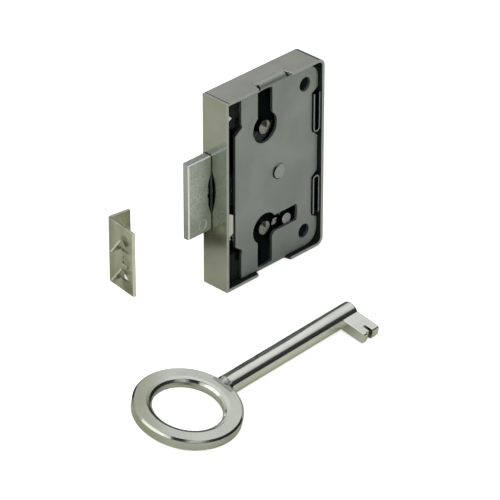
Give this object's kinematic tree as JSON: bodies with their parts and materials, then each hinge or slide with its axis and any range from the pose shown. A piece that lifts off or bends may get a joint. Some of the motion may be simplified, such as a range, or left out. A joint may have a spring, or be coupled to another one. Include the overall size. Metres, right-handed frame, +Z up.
{
  "type": "cupboard rim lock",
  "caption": "Pressed-steel rim lock for a cupboard door with thrown bolt, keyhole plate, ring-bow key and angle strike plate.",
  "frame": {"origin": "midway between the two screw holes, on the door side of the base plate", "axes": "+X away from the bolt, +Y from the door into the cupboard, +Z up along the forend"},
  "size_m": [0.0981, 0.0756, 0.0544],
  "materials": {
    "case_nickel": "nickel-plated pressed steel, softly polished",
    "plate_nickel": "satin nickel-plated sheet",
    "strike_nickel": "nickel-plated sheet, warm tone",
    "key_nickel": "polished nickel on a cast key",
    "cast_zinc": "barrelled zinc casting",
    "bright_steel": "plain bright steel",
    "dark_steel": "dark phosphate with worn bright edges",
    "black_moulding": "moulded plastic, matt",
    "spring_grey": "oiled spring strip"
  },
  "bodies": {
    "lock_case": {"case": "case_nickel", "base_plate": "plate_nickel", "moulded_insert": "black_moulding", "ward_plate": "dark_steel", "ward_studs": "bright_steel", "upper_key_pin": "bright_steel", "lower_key_pin": "bright_steel", "tumbler_pivot": "bright_steel", "front_tumbler_springs": "spring_grey", "rear_tumbler_springs": "spring_grey", "brake_spring": "bright_steel"},
    "lock_bolt": {"bolt": "cast_zinc", "bolt_stump": "bright_steel"},
    "front_tumbler_body": {"front_tumbler": "black_moulding"},
    "rear_tumbler_body": {"rear_tumbler": "black_moulding"},
    "loose_key": {"key": "key_nickel"},
    "loose_strike": {"strike_plate": "strike_nickel"}
  },
  "joints": [
    {"name": "bolt_slide", "type": "slide", "parent": "lock_case", "child": "lock_bolt", "axis": [1, 0, 0], "range_m": [0, 0.008], "deforming": ["brake_spring"]},
    {"name": "front_tumbler_turn", "type": "hinge", "parent": "lock_case", "child": "front_tumbler_body", "pos_m": [0.00035, 0.0018, 0], "axis": [0, 1, 0], "range_deg": [0, 7], "deforming": ["front_tumbler_springs"]},
    {"name": "rear_tumbler_turn", "type": "hinge", "parent": "lock_case", "child": "rear_tumbler_body", "pos_m": [0.00035, 0.003, 0], "axis": [0, 1, 0], "range_deg": [0, 7], "deforming": ["rear_tumbler_springs"]},
    {"name": "key_lift", "type": "slide", "parent": "lock_case", "child": "loose_key", "axis": [0, 0, 1], "range_m": [0, 0.06]},
    {"name": "strike_lift", "type": "slide", "parent": "lock_case", "child": "loose_strike", "axis": [0, 0, 1], "range_m": [0, 0.06]}
  ],
  "couplings": [
    {"joint": "front_tumbler_turn", "follows": "bolt_slide", "rad_per_m": 15.25},
    {"joint": "rear_tumbler_turn", "follows": "bolt_slide", "rad_per_m": 15.25}
  ]
}
